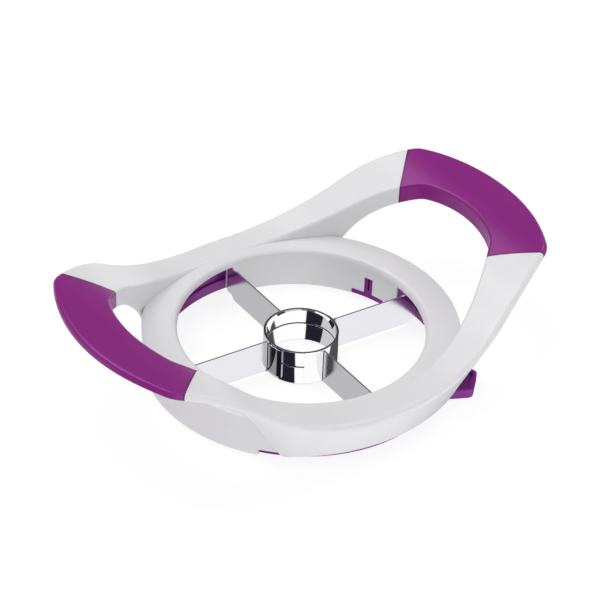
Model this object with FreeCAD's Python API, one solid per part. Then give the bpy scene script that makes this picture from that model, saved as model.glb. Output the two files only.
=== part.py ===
"""Apple wedger press with a four-blade cross that folds into a single pair of blades.

Frame: millimetres, +X along the two handles, +Z up, and the origin on the table under
the axis of the core ring.  The front is -Y.  One pair of blades stands still in the white
body.  The other pair is carried by the purple turning ring, which a lever at the front
right swings clockwise about the core ring's axis.
"""
import FreeCAD
import Part
import math
import os

from FreeCAD import Vector

# ---------------------------------------------------------------- driving sizes, in mm
# Opening, rim and base of the white body
OPENING_R = 44.9          # clear radius inside the rim's lip
RIM_OUTER_R = 57.1        # outside of the base wall at its lower edge
RIM_DRAFT = 0.6           # how much wider the rim is at the top than the wall's lower edge
RIM_LIP_Z = 17.7          # top of the rim at its inner lip
RIM_FALL = 0.5            # how far the rim's top falls on its way outwards
LIP_DEPTH = 3.0           # height of the lip, so that the blades pass under it
LIP_ROUND = 2.0           # rounding of the rim's inner edge
RIM_ROUND = 1.0           # rounding of the rim's outer edge
BASE_WALL = 2.1           # thickness of the base wall
BASE_Z = 1.4              # underside of the base wall, above the table
INNER_WALL = 2.0          # thickness of the inner wall sectors
INNER_WALL_STEP = 0.4     # how far the inner wall stands back from the lip
INNER_WALL_Z = 1.8        # underside of the inner wall sectors
BOSS_REACH = 2.3          # how far the blade boss reaches outwards past the inner wall
BOSS_DEG = 4.0            # angle that the blade boss takes
BOSS_RAISE = 0.8          # how far the boss's underside is above that of the inner wall

# Core ring, made of two rings stacked on one axis
CORE_R = 13.65            # outside of the core ring
CORE_WALL = 0.55          # its sheet thickness
CORE_TOP_Z = 14.35        # upper edge
CORE_BOTTOM_Z = 0.25      # lower cutting edge
CORE_SEAM_Z = 7.9         # where the two rings meet
CORE_SEAM_GAP = 0.2       # running gap between them
CORE_EDGE = 0.2           # bevel of each ring's rims

# Blades
BLADE_T = 0.6             # sheet thickness
BLADE_EDGE_T = 0.12       # thickness left at the cutting edge
BEVEL_H = 1.2             # height of the ground bevel
FIXED_BLADE_Z = 0.5       # cutting edge of the fixed pair
TURNING_BLADE_Z = 0.9     # cutting edge of the turning pair
END_STEP_Z = 2.5          # underside of each blade's outer end, past its step
FIXED_STEP_R = 44.2       # radius at which the fixed pair's step begins
TURNING_STEP_R = 47.4     # radius at which the turning pair's step begins
END_STEP_RUN = 0.9        # length of the sloped step
FIXED_BLADE_REACH = 0.3   # how far the fixed pair reaches past the inner wall
TAB_DEG = 30.0            # angle of the tab that hugs the core ring
TAB_DROP = 0.7            # how far the tab stands below the ring's upper edge
TAB_RAISE = 0.9           # how far it stands above the blade's cutting edge
BEND_R = 0.5              # inside radius of the bend at the tab
TAB_RUN_GAP = 0.12        # gap between a tab and the ring that turns past it
FIXED_DEG = 90.0          # direction of the first fixed blade
REST_DEG = -4.0           # direction of the first turning blade at rest

# Turning ring and lever
TURN_GAP = 0.3            # running gap round the turning ring
TURN_WALL = 2.5           # thickness of its upper wall
TURN_FOOT_WALL = 1.55     # thickness of its foot, where it shows under the base
TURN_FOOT_H = 3.4         # height of that thinner foot
TURN_BEAD = 0.9           # ledge inside the ring that rides on the clips
TURN_BEAD_H = 1.3         # height of the ledge
HOLDER_REACH = 6.2        # how far each blade holder reaches inwards
HOLDER_DEG = 7.0          # angle of each blade holder
HOLDER_Z = 2.6            # underside of the blade holders
LEVER_DEG = -46.4         # direction of the lever at rest
LEVER_R = 64.3            # outer end of the lever
LEVER_ROOT_W = 16.6       # width of the lever where it leaves the base
LEVER_TIP_W = 11.2        # width of the lever at its end
LEVER_H = 3.5             # height of the lever
LEVER_ROUND = 2.4         # rounding of its outer corners
SCOOP_L = 4.6             # radial length of the finger scoop in its top
SCOOP_DEPTH = 1.7         # depth of the finger scoop
SCOOP_EDGE = 1.3          # rim left round the scoop
TRAVEL_DEG = 82.0         # how far the lever swings clockwise from rest
SLOT_GAP = 0.5            # gap between the lever at rest and the end of its slot
SLOT_SPARE = 1.8          # length of slot left past the lever at the end of its swing
SLOT_TOP_Z = 3.95         # top of the slot

# Snap clips that hold the turning ring up, seen through T-shaped windows
CLIP_T = 1.5              # thickness of a clip's plate
CLIP_DEG = 45.0           # middle direction of the first clip's plate
CLIP_SPAN_DEG = 70.0      # angle of the plate
WINDOW_DEG = 21.0         # direction of the first T window
STEM_DEG = 4.6            # angle of the T's stem
STEM_TOP_Z = 10.8         # top of the T's stem
BAR_DEG = 17.8            # angle of the T's bar
BAR_TOP_Z = 4.0           # top of the T's bar
WINDOW_GAP = 0.12         # gap round the finger in its window
FINGER_SINK = 0.25        # how far the finger stands back from the wall's face
PRONG_SLIT_W = 0.7        # slit that splits the finger into two prongs
PRONG_SLIT_Z = 5.2        # bottom of the slit

# Handles: plan outline
HANDLE_TIP_X = 90.7       # half length over the handles
TIP_ARC_R = 74.0          # radius of the handle's outer end in plan
FLANK_Y = 59.9            # half width over the front and back flanks
FLANK_ARC_R = 160.0       # radius of the flanks in plan
OUTER_CORNER_R = 8.8      # corner between flank and end
GRIP_INNER_X = 72.6       # inside of the finger opening, on the handle's middle
INNER_TIP_ARC_R = 48.0    # radius of that inside face
INNER_FLANK_Y = 49.0      # inner edge of the flanks over the rim
INNER_FLANK_ARC_R = 95.0  # radius of that inner edge
INNER_CORNER_R = 9.5      # corner between the inner faces

# Handles: side profile
DECK_Z = 17.9             # top of the flanks at the middle
HANDLE_TOP_Z = 45.6       # highest line of the handles
CREST_X = 88.8            # where that line lies
CREST_R = 60.0            # radius of the crest
VALLEY_R = 75.0           # radius of the sweep up from the rim
SLOPE_DEG = 35.5          # slope of the arms between the two
HANDLE_T = 6.8            # thickness of the arms and grips
FLARE_X = 38.9            # half length of the skirts along their underside
FLARE_DEG = 58.0          # slope of the skirts' ends
FLARE_ROUND = 36.0        # sweep between the arm's underside and the skirt's end

# Undercut: the outer side walls draw in below a low upright band
WALL_H = 2.4              # height of the upright band under the upper edge
ARM_UNDERCUT = 1.4        # inward lean of the wall below it, on the arms and handles
BLEND_FROM_X = 40.0       # stretch over which the skirts' lean grows into the arms'
BLEND_TO_X = 57.0
SKIRT_Z = 4.1             # underside of both skirts
SKIRT_FOOT_Y = 57.3       # half width over the skirts along their underside
SKIRT_FOOT_ARC_R = 67.2   # radius of that lower outline
SKIRT_WALL = 2.6          # thickness of the skirts
DECK_T = 4.2              # thickness left over the hollow of the skirts
HOLLOW_X = 47.0           # how far the hollow runs out under the arms

# Edges of the handles
EDGE_ROUND = 1.5          # outer upper edge
INNER_EDGE_ROUND = 1.2    # inner upper edge
INNER_UNDER_ROUND = 1.0   # inner lower edge

# Soft grips
GRIP_CUT = 35.8           # where the grips end: plan distance of the 45 degree joints
GRIP_SKIN = 1.9           # thickness of the grip over its white core

# ---------------------------------------------------------------- worked out from them
EPS = 0.01
FAR = 400.0
lip_under_z = RIM_LIP_Z - LIP_DEPTH
rim_top_r = RIM_OUTER_R + RIM_DRAFT
base_inner_r = RIM_OUTER_R - BASE_WALL
wall_r0 = OPENING_R + INNER_WALL_STEP
wall_r1 = wall_r0 + INNER_WALL
boss_r1 = wall_r1 + BOSS_REACH
fixed_blade_r = wall_r1 + FIXED_BLADE_REACH
turn_r1 = base_inner_r - TURN_GAP
turn_r0 = turn_r1 - TURN_WALL
turn_top_z = lip_under_z - TURN_GAP
clip_top_z = INNER_WALL_Z + CLIP_T
bead_z = clip_top_z + TURN_GAP
foot_r1 = turn_r0 + TURN_FOOT_WALL


# ---------------------------------------------------------------- small helpers
def at(radius, degrees, z=0.0):
    """Point at a radius and direction about the core ring's axis."""
    a = math.radians(degrees)
    return Vector(radius * math.cos(a), radius * math.sin(a), z)


def tube(r0, r1, z0, z1):
    """Plain tube about the axis."""
    outer = Part.makeCylinder(r1, z1 - z0, Vector(0, 0, z0))
    return outer.cut(Part.makeCylinder(r0, z1 - z0 + 2, Vector(0, 0, z0 - 1)))


def lathe(points):
    """Solid of revolution about the axis from (radius, z) corners."""
    corners = [Vector(r, 0, z) for r, z in points]
    face = Part.Face(Part.makePolygon(corners + corners[:1]))
    return face.revolve(Vector(0, 0, 0), Vector(0, 0, 1), 360)


def arc_tube(r0, r1, z0, z1, from_deg, to_deg):
    """Stretch of a tube between two directions."""
    mid = 0.5 * (from_deg + to_deg)
    outer = Part.Arc(at(r1, from_deg), at(r1, mid), at(r1, to_deg)).toShape()
    inner = Part.Arc(at(r0, to_deg), at(r0, mid), at(r0, from_deg)).toShape()
    side_a = Part.makeLine(at(r1, to_deg), at(r0, to_deg))
    side_b = Part.makeLine(at(r0, from_deg), at(r1, from_deg))
    face = Part.Face(Part.Wire([outer, side_a, inner, side_b]))
    face.translate(Vector(0, 0, z0))
    return face.extrude(Vector(0, 0, z1 - z0))


def turned(shape, degrees):
    """Copy of a shape turned about the axis."""
    copy = shape.copy()
    copy.rotate(Vector(0, 0, 0), Vector(0, 0, 1), degrees)
    return copy


def box(x0, x1, y0, y1, z0, z1):
    """Block between two corners."""
    return Part.makeBox(x1 - x0, y1 - y0, z1 - z0, Vector(x0, y0, z0))


def round_edges(shape, radius, wanted):
    """Round every edge whose three sample points all satisfy the test."""
    picked = []
    for edge in shape.Edges:
        first, last = edge.ParameterRange
        samples = [edge.valueAt(first + (last - first) * f) for f in (0.1, 0.5, 0.9)]
        if all(wanted(p) for p in samples):
            picked.append(edge)
    return shape.makeFillet(radius, picked) if picked else shape


def lengthwise_edges(shape, wanted):
    """Middle points of the edges that run along the band and satisfy the test."""
    middles = []
    for edge in shape.Edges:
        first, last = edge.ParameterRange
        samples = [edge.valueAt(first + (last - first) * f) for f in (0.0, 0.1, 0.5, 0.9)]
        across = abs(samples[0].x - samples[3].x) < EPS and len(edge.Curve.toNurbs().getPoles()) == 2
        if not across and all(wanted(p) for p in samples[1:]):
            middles.append(samples[2])
    return middles


def round_near(shape, radius, middles):
    """Round the edges that run through the given points."""
    picked = []
    for edge in shape.Edges:
        for m in middles:
            if edge.distToShape(Part.Vertex(m))[0] < EPS:
                picked.append(edge)
                break
    return shape.makeFillet(radius, picked)


# ---------------------------------------------------------------- plan outlines
def corner_centre(flank_y, flank_r, tip_x, tip_r, corner_r):
    """Centre of the corner arc that touches both the flank arc and the end arc."""
    flank_c = flank_y - flank_r
    tip_c = tip_x - tip_r
    a = flank_r - corner_r
    b = tip_r - corner_r
    span = math.hypot(tip_c, flank_c)
    along = (a * a - b * b + span * span) / (2 * span)
    off = math.sqrt(a * a - along * along)
    ux, uy = tip_c / span, -flank_c / span
    cx = along * ux + off * uy
    cy = flank_c + along * uy - off * ux
    if cy < 0 or cx < tip_c:
        cx = along * ux - off * uy
        cy = flank_c + along * uy + off * ux
    return cx, cy


def outline(flank_y, flank_r, tip_x, tip_r, corner_r):
    """Closed plan outline: two flank arcs, two end arcs and four rounded corners."""
    flank_c = flank_y - flank_r
    tip_c = tip_x - tip_r
    a = flank_r - corner_r
    b = tip_r - corner_r
    cx, cy = corner_centre(flank_y, flank_r, tip_x, tip_r, corner_r)
    t1 = Vector(cx / a * flank_r, flank_c + (cy - flank_c) / a * flank_r, 0)
    t2 = Vector(tip_c + (cx - tip_c) / b * tip_r, cy / b * tip_r, 0)
    mid = (t1 + t2) * 0.5 - Vector(cx, cy, 0)
    m = Vector(cx, cy, 0) + mid * (corner_r / mid.Length)

    def mirrored(p, sx, sy):
        return Vector(p.x * sx, p.y * sy, 0)

    edges = [
        Part.Arc(mirrored(t1, -1, 1), Vector(0, flank_y, 0), t1),
        Part.Arc(t1, m, t2),
        Part.Arc(t2, Vector(tip_x, 0, 0), mirrored(t2, 1, -1)),
        Part.Arc(mirrored(t2, 1, -1), mirrored(m, 1, -1), mirrored(t1, 1, -1)),
        Part.Arc(mirrored(t1, 1, -1), Vector(0, -flank_y, 0), mirrored(t1, -1, -1)),
        Part.Arc(mirrored(t1, -1, -1), mirrored(m, -1, -1), mirrored(t2, -1, -1)),
        Part.Arc(mirrored(t2, -1, -1), Vector(-tip_x, 0, 0), mirrored(t2, -1, 1)),
        Part.Arc(mirrored(t2, -1, 1), mirrored(m, -1, 1), mirrored(t1, -1, 1)),
    ]
    return Part.Wire([e.toShape() for e in edges])


def outer_outline(inset):
    return outline(FLANK_Y - inset, FLANK_ARC_R - inset, HANDLE_TIP_X - inset,
                   TIP_ARC_R - inset, OUTER_CORNER_R - inset)


def inner_outline(grow):
    return outline(INNER_FLANK_Y + grow, INNER_FLANK_ARC_R + grow, GRIP_INNER_X + grow,
                   INNER_TIP_ARC_R + grow, INNER_CORNER_R + grow)


def prism(wire, z0, z1):
    """Upright solid over a plan outline."""
    base = wire.copy()
    base.translate(Vector(0, 0, z0))
    return Part.Face(base).extrude(Vector(0, 0, z1 - z0))


# ---------------------------------------------------------------- side profiles
def arm_curve(drop):
    """Corner and tangent points of the arms' upper line, lowered by a thickness."""
    s = math.radians(SLOPE_DEG)
    crest_r = CREST_R - drop
    crest_cz = HANDLE_TOP_Z - CREST_R
    p_crest = Vector(CREST_X - crest_r * math.sin(s), 0, crest_cz + crest_r * math.cos(s))
    valley_r = VALLEY_R + drop
    valley_cz = DECK_Z + VALLEY_R
    line_z = valley_cz - valley_r * math.cos(s)
    line_x = p_crest.x - (p_crest.z - line_z) / math.tan(s)
    p_valley = Vector(line_x, 0, line_z)
    valley_cx = line_x - valley_r * math.sin(s)
    return p_crest, p_valley, valley_cx, crest_r, crest_cz


def profile_solid(top_drop, under_drop, with_skirt):
    """Block with the arms' side profile, as deep as the whole part."""
    half = math.radians(SLOPE_DEG) / 2
    end_x = HANDLE_TIP_X + 4
    p_crest, p_valley, valley_cx, crest_r, crest_cz = arm_curve(top_drop)

    def on_crest(x, r):
        return Vector(x, 0, crest_cz + math.sqrt(r * r - (x - CREST_X) ** 2))

    deck = Vector(valley_cx, 0, DECK_Z - top_drop)
    valley_r = VALLEY_R + top_drop
    valley_mid = Vector(valley_cx + valley_r * math.sin(half), 0,
                        DECK_Z + VALLEY_R - valley_r * math.cos(half))
    edges = [Part.makeLine(Vector(0, 0, deck.z), deck)]
    edges.append(Part.Arc(deck, valley_mid, p_valley).toShape())
    edges.append(Part.makeLine(p_valley, p_crest))
    edges.append(Part.Arc(p_crest, on_crest(CREST_X, crest_r), on_crest(end_x, crest_r)).toShape())
    under_crest, _, _, under_r, _ = arm_curve(under_drop)
    low_end = on_crest(end_x, under_r)
    edges.append(Part.makeLine(on_crest(end_x, crest_r), low_end))
    edges.append(Part.Arc(low_end, on_crest(CREST_X, under_r), under_crest).toShape())
    if with_skirt:
        edges += flare_end(under_crest)
        edges.append(Part.makeLine(Vector(FLARE_X, 0, SKIRT_Z), Vector(0, 0, SKIRT_Z)))
        edges.append(Part.makeLine(Vector(0, 0, SKIRT_Z), Vector(0, 0, deck.z)))
    else:
        foot = Vector(under_crest.x, 0, BASE_Z)
        edges.append(Part.makeLine(under_crest, foot))
        edges.append(Part.makeLine(foot, Vector(0, 0, BASE_Z)))
        edges.append(Part.makeLine(Vector(0, 0, BASE_Z), Vector(0, 0, deck.z)))
    half_face = Part.Face(Part.Wire(edges))
    half_face.translate(Vector(0, -FAR / 2, 0))
    right = half_face.extrude(Vector(0, FAR, 0))
    left = right.mirror(Vector(0, 0, 0), Vector(1, 0, 0))
    return right.fuse(left).removeSplitter()


def below_profile(drop):
    """Block under the arms' upper line, lowered by a thickness, out to the crest."""
    half = math.radians(SLOPE_DEG) / 2
    p_crest, p_valley, valley_cx, _, _ = arm_curve(drop)
    deck = Vector(valley_cx, 0, DECK_Z - drop)
    valley_r = VALLEY_R + drop
    valley_mid = Vector(valley_cx + valley_r * math.sin(half), 0,
                        DECK_Z + VALLEY_R - valley_r * math.cos(half))
    low_out = Vector(p_crest.x, 0, -5)
    low_mid = Vector(0, 0, -5)
    edges = [Part.makeLine(Vector(0, 0, deck.z), deck),
             Part.Arc(deck, valley_mid, p_valley).toShape(),
             Part.makeLine(p_valley, p_crest), Part.makeLine(p_crest, low_out),
             Part.makeLine(low_out, low_mid), Part.makeLine(low_mid, Vector(0, 0, deck.z))]
    half_face = Part.Face(Part.Wire(edges))
    half_face.translate(Vector(0, -FAR / 2, 0))
    right = half_face.extrude(Vector(0, FAR, 0))
    return right.fuse(right.mirror(Vector(0, 0, 0), Vector(1, 0, 0)))


def flare_end(under_crest):
    """Underside from the grip down the arm and down the skirt's sloped end."""
    s = math.radians(SLOPE_DEG)
    f = math.radians(FLARE_DEG)
    foot = Vector(FLARE_X, 0, SKIRT_Z)
    # where the arm's straight underside would meet the skirt's end
    t = ((under_crest.z - foot.z) - (under_crest.x - foot.x) * math.tan(s))
    t = t / (math.tan(f) - math.tan(s))
    knee = Vector(foot.x + t, 0, foot.z + t * math.tan(f))
    back = FLARE_ROUND * math.tan((f - s) / 2)
    upper = knee + Vector(math.cos(s), 0, math.sin(s)) * back
    lower = knee - Vector(math.cos(f), 0, math.sin(f)) * back
    middle_dir = Vector(-math.sin((s + f) / 2), 0, math.cos((s + f) / 2))
    centre = upper - Vector(-math.sin(s), 0, math.cos(s)) * FLARE_ROUND
    middle = centre + middle_dir * FLARE_ROUND
    return [Part.makeLine(under_crest, upper), Part.Arc(upper, middle, lower).toShape(),
            Part.makeLine(lower, foot)]


def top_z(x):
    """Height of the arms' upper surface."""
    x = abs(x)
    p_crest, p_valley, valley_cx, crest_r, crest_cz = arm_curve(0.0)
    if x <= valley_cx:
        return DECK_Z
    if x <= p_valley.x:
        return DECK_Z + VALLEY_R - math.sqrt(VALLEY_R ** 2 - (x - valley_cx) ** 2)
    if x <= p_crest.x:
        return p_crest.z - (p_crest.x - x) * math.tan(math.radians(SLOPE_DEG))
    return crest_cz + math.sqrt(crest_r ** 2 - (x - CREST_X) ** 2)


def under_z(x):
    """Height of the band's underside, the skirts' sloped ends included."""
    x = abs(x)
    p_under, _, _, under_r, crest_cz = arm_curve(HANDLE_T)
    end_z = SKIRT_Z + max(0.0, x - FLARE_X) * math.tan(math.radians(FLARE_DEG))
    if x > p_under.x:
        return min(end_z, crest_cz + math.sqrt(under_r ** 2 - (x - CREST_X) ** 2))
    return min(end_z, p_under.z - (p_under.x - x) * math.tan(math.radians(SLOPE_DEG)))


# ---------------------------------------------------------------- undercut of the side walls
def stations():
    """Points and outward directions along one quarter of the outer outline, and a bit past it."""
    args = (FLANK_Y, FLANK_ARC_R, HANDLE_TIP_X, TIP_ARC_R, OUTER_CORNER_R)
    cx, cy = corner_centre(*args)
    flank_c = FLANK_Y - FLANK_ARC_R
    tip_c = HANDLE_TIP_X - TIP_ARC_R
    flank_end = math.atan2(cx, cy - flank_c)
    tip_end = math.atan2(cy, cx - tip_c)
    found = []
    n = 34
    for i in range(-2, n):
        a = flank_end * i / n
        d = Vector(math.sin(a), math.cos(a), 0)
        found.append((Vector(0, flank_c, 0) + d * FLANK_ARC_R, d))
    n = 6
    for i in range(n + 1):
        a = flank_end + (math.pi / 2 - tip_end - flank_end) * i / n
        d = Vector(math.sin(a), math.cos(a), 0)
        found.append((Vector(cx, cy, 0) + d * OUTER_CORNER_R, d))
    n = 8
    for i in range(1, n + 3):
        a = tip_end * (1 - i / n)
        d = Vector(math.cos(a), math.sin(a), 0)
        found.append((Vector(tip_c, 0, 0) + d * TIP_ARC_R, d))
    return found


def wall_lean(point, outward):
    """Inward lean of the side wall: set by the skirts' foot, or by the arms' undercut."""
    foot_c = Vector(0, SKIRT_FOOT_Y - SKIRT_FOOT_ARC_R, 0)
    t = (abs(point.x) - BLEND_FROM_X) / (BLEND_TO_X - BLEND_FROM_X)
    t = min(1.0, max(0.0, t))
    t = t * t * (3 - 2 * t)
    if t >= 1.0:
        return ARM_UNDERCUT
    to_point = point - foot_c
    along = to_point.dot(outward)
    side2 = to_point.dot(to_point) - along * along
    foot_inset = along - math.sqrt(max(0.0, SKIRT_FOOT_ARC_R ** 2 - side2))
    skirt = foot_inset / (top_z(point.x) - WALL_H - SKIRT_Z)
    return skirt + (ARM_UNDERCUT - skirt) * t


def undercut(inset):
    """What lies outside the leaning side walls of one quarter, back right."""
    sections = []
    for point, outward in stations():
        lean = wall_lean(point, outward)
        wall_z = top_z(point.x) - WALL_H
        low_z = under_z(point.x)
        for _ in range(6):
            low_z = under_z(point.x - outward.x * lean * (wall_z - low_z + 2)) - 1.5
        out = 2.0
        wall = point - outward * inset
        upper = wall + outward * out + Vector(0, 0, wall_z + out / lean)
        lower = wall - outward * (lean * (wall_z - low_z)) + Vector(0, 0, low_z)
        far_up = wall + outward * 14 + Vector(0, 0, wall_z + out / lean)
        far_low = wall + outward * 14 + Vector(0, 0, low_z)
        sections.append(Part.makePolygon([upper, far_up, far_low, lower, upper]))
    tool = Part.makeLoft(sections, True, False)
    return tool.common(box(0, FAR, 0, FAR, -20, FAR))


def draw_in(shape, inset):
    """Cut the leaning side walls on all four quarters."""
    tool = undercut(inset)
    across = tool.mirror(Vector(0, 0, 0), Vector(1, 0, 0))
    tools = [tool, across]
    tools += [t.mirror(Vector(0, 0, 0), Vector(0, 1, 0)) for t in (tool, across)]
    for t in tools:
        shape = shape.cut(t)
    return shape


# ---------------------------------------------------------------- white body
def handle_band(inset, under, with_skirt):
    """Both arms, both grips and the flanks as one band with upright walls."""
    outer = prism(outer_outline(inset), 0, HANDLE_TOP_Z + 5)
    band = outer.common(profile_solid(inset, under, with_skirt))
    return band.cut(prism(inner_outline(inset), -5, HANDLE_TOP_Z + 10))


def rim_wall():
    """Rim and base wall."""
    rim_edge_z = RIM_LIP_Z - RIM_FALL
    rim = lathe([(OPENING_R, RIM_LIP_Z), (rim_top_r, rim_edge_z), (RIM_OUTER_R, BASE_Z),
                 (base_inner_r, BASE_Z), (base_inner_r, lip_under_z), (OPENING_R, lip_under_z)])
    rim = round_edges(rim, LIP_ROUND,
                      lambda p: abs(math.hypot(p.x, p.y) - OPENING_R) < EPS and p.z > RIM_LIP_Z - EPS)
    rim = round_edges(rim, RIM_ROUND,
                      lambda p: abs(math.hypot(p.x, p.y) - rim_top_r) < EPS
                      and abs(p.z - rim_edge_z) < EPS)
    return rim


def inner_wall():
    """One inner wall sector, from the turning blade's stop to the fixed blade's boss."""
    start_deg = REST_DEG + HOLDER_DEG + math.degrees(TURN_GAP / wall_r0)
    wall = arc_tube(wall_r0, wall_r1, INNER_WALL_Z, lip_under_z + EPS, start_deg, FIXED_DEG)
    boss = arc_tube(wall_r0, boss_r1, INNER_WALL_Z + BOSS_RAISE, lip_under_z + EPS,
                    FIXED_DEG - BOSS_DEG, FIXED_DEG)
    wall = wall.fuse(boss)
    # the blade lies against a flat face, half a sheet beside the radial plane
    blade_side = box(-2, BLADE_T / 2, OPENING_R - 2, boss_r1 + 2, -1, lip_under_z)
    wall = wall.cut(turned(blade_side, FIXED_DEG - 90))
    return wall.cut(t_window())


def t_window():
    """T-shaped window through the inner wall for a clip's finger."""
    stem = arc_tube(wall_r0 - 1, wall_r1 + 1, INNER_WALL_Z - 1, STEM_TOP_Z,
                    WINDOW_DEG - STEM_DEG / 2, WINDOW_DEG + STEM_DEG / 2)
    bar = arc_tube(wall_r0 - 1, wall_r1 + 1, INNER_WALL_Z - 1, BAR_TOP_Z,
                   WINDOW_DEG - BAR_DEG / 2, WINDOW_DEG + BAR_DEG / 2)
    return stem.fuse(bar)


def skirt_hollow():
    """Space between the skirts and the base wall, open at the skirts' ends."""
    room = prism(outer_outline(SKIRT_WALL), SKIRT_Z - 2, HANDLE_TOP_Z)
    room = room.common(below_profile(DECK_T))
    room = room.cut(prism(inner_outline(SKIRT_WALL), -5, HANDLE_TOP_Z + 10))
    room = room.common(box(-HOLLOW_X, HOLLOW_X, -FAR, FAR, -5, HANDLE_TOP_Z))
    room = draw_in(room, SKIRT_WALL)
    return room.cut(Part.makeCylinder(rim_top_r, FAR, Vector(0, 0, -5)))


def on_top(p):
    """True where a point lies on the arms' upper surface."""
    return abs(p.z - top_z(p.x)) < 0.02


def on_inside(p):
    """True where a point of the band's edges belongs to its inner outline."""
    if abs(p.x) > GRIP_INNER_X + EPS:
        return False
    centre_y = INNER_FLANK_Y - INNER_FLANK_ARC_R
    return abs(p.y) < centre_y + math.sqrt(INNER_FLANK_ARC_R ** 2 - p.x ** 2) + EPS


def on_underside(p):
    """True for the edges between the skirts' foot and the arms' upper surface."""
    return p.z > SKIRT_Z + EPS and not on_top(p)


def rounded_band():
    """The handle band with its edges rounded and its side walls drawn in."""
    band = handle_band(0.0, HANDLE_T, True)
    rounds = [
        (EDGE_ROUND, lambda p: on_top(p) and not on_inside(p)),
        (INNER_EDGE_ROUND, lambda p: on_top(p) and on_inside(p)),
        (INNER_UNDER_ROUND, lambda p: on_underside(p) and on_inside(p)),
    ]
    wanted = [(radius, lengthwise_edges(band, test)) for radius, test in rounds]
    for radius, edges in wanted:
        band = round_near(band, radius, edges)
    return draw_in(band, 0.0)


def grip_zone(side):
    """Everything beyond the two 45 degree joints of one handle."""
    tip = Vector(side * GRIP_CUT, 0, -FAR / 2)
    far_front = Vector(side * (GRIP_CUT + FAR), -FAR, -FAR / 2)
    far_back = Vector(side * (GRIP_CUT + FAR), FAR, -FAR / 2)
    face = Part.Face(Part.makePolygon([tip, far_front, far_back, tip]))
    return face.extrude(Vector(0, 0, FAR))


def handle_core():
    """White core that runs on inside both grips."""
    return draw_in(handle_band(GRIP_SKIN, HANDLE_T - GRIP_SKIN, False), GRIP_SKIN)


def make_body(band, core):
    frame = band
    for side in (-1, 1):
        frame = frame.cut(grip_zone(side))
    for side in (-1, 1):
        frame = frame.fuse(core.common(grip_zone(side)))
    body = frame.fuse(rim_wall())
    body = body.cut(Part.makeCylinder(base_inner_r, lip_under_z + 5, Vector(0, 0, -5)))
    body = body.cut(skirt_hollow())
    body = body.cut(lever_slot())
    for half_turn in (0, 180):
        body = body.fuse(turned(inner_wall(), half_turn))
    return body


def make_grip(band, core, side):
    return band.common(grip_zone(side)).cut(core)


# ---------------------------------------------------------------- core ring and blades
def make_core_ring(z0, z1):
    """One of the two stacked rings, its rims bevelled."""
    r0 = CORE_R - CORE_WALL
    e = CORE_EDGE
    return lathe([(r0, z0), (CORE_R - e, z0), (CORE_R, z0 + e), (CORE_R, z1 - e),
                  (CORE_R - e, z1), (r0, z1)])


def blade_blank(end_r, low_z, tab_sign):
    """Sheet along +Y with its inner end bent round the core ring."""
    t = BLADE_T
    r_in = CORE_R
    r_out = CORE_R + t
    cx = t / 2 + BEND_R
    cy = math.sqrt((r_out + BEND_R) ** 2 - cx * cx)
    towards = math.degrees(math.atan2(-cy, -cx)) + 360

    def on_bend(radius, degrees):
        return Vector(cx, cy, 0) + at(radius, degrees)

    def bend(radius):
        return Part.Arc(on_bend(radius, 180), on_bend(radius, 0.5 * (180 + towards)),
                        on_bend(radius, towards)).toShape()

    tab_end = 90 - TAB_DEG
    tab_start = towards - 180
    tab_mid = 0.5 * (tab_end + tab_start)
    edges = [
        Part.makeLine(Vector(-t / 2, end_r, 0), on_bend(BEND_R + t, 180)),
        bend(BEND_R + t),
        Part.Arc(at(r_in, tab_start), at(r_in, tab_mid), at(r_in, tab_end)).toShape(),
        Part.makeLine(at(r_in, tab_end), at(r_out, tab_end)),
        Part.Arc(at(r_out, tab_end), at(r_out, tab_mid), at(r_out, tab_start)).toShape(),
        bend(BEND_R),
        Part.makeLine(on_bend(BEND_R, 180), Vector(t / 2, end_r, 0)),
        Part.makeLine(Vector(t / 2, end_r, 0), Vector(-t / 2, end_r, 0)),
    ]
    face = Part.Face(Part.Wire(edges))
    face.translate(Vector(0, 0, low_z))
    blank = face.extrude(Vector(0, 0, CORE_TOP_Z - low_z))
    if tab_sign < 0:
        blank = blank.mirror(Vector(0, 0, 0), Vector(1, 0, 0))
    return blank


def ground_edge(low_z, end_r):
    """The two wedges that grinding takes off the sheet's lower edge."""
    t = BLADE_T
    e = BLADE_EDGE_T
    start = CORE_R + t + BEND_R
    wedge = Part.makePolygon([Vector(t / 2, start, low_z + BEVEL_H), Vector(e / 2, start, low_z),
                              Vector(e / 2, start, low_z - 1), Vector(t, start, low_z - 1),
                              Vector(t, start, low_z + BEVEL_H),
                              Vector(t / 2, start, low_z + BEVEL_H)])
    right = Part.Face(wedge).extrude(Vector(0, end_r, 0))
    return right.fuse(right.mirror(Vector(0, 0, 0), Vector(1, 0, 0)))


def end_step(low_z, end_r, step_r):
    """What is missing under the blade's outer end."""
    t = BLADE_T
    points = [Vector(-t, step_r, END_STEP_Z), Vector(-t, end_r + 2, END_STEP_Z),
              Vector(-t, end_r + 2, low_z - 2),
              Vector(-t, step_r - END_STEP_RUN * 2, low_z - 2),
              Vector(-t, step_r - END_STEP_RUN, low_z)]
    face = Part.Face(Part.makePolygon(points + points[:1]))
    return face.extrude(Vector(2 * t, 0, 0))


def make_blade(end_r, low_z, step_r, tab_sign, ring_z0, ring_z1, degrees):
    """Finished blade, relieved over the ring that it doesn't carry."""
    blade = blade_blank(end_r, low_z, tab_sign)
    blade = blade.cut(ground_edge(low_z, end_r)).cut(end_step(low_z, end_r, step_r))
    blade = blade.cut(tube(0.1, CORE_R + TAB_RUN_GAP, ring_z0, ring_z1))
    tab_r = CORE_R + BLADE_T + EPS
    blade = blade.cut(tube(0.1, tab_r, CORE_TOP_Z - TAB_DROP, CORE_TOP_Z + 1))
    blade = blade.cut(tube(0.1, tab_r, low_z - 1, low_z + TAB_RAISE))
    return turned(blade, degrees - 90)


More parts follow.
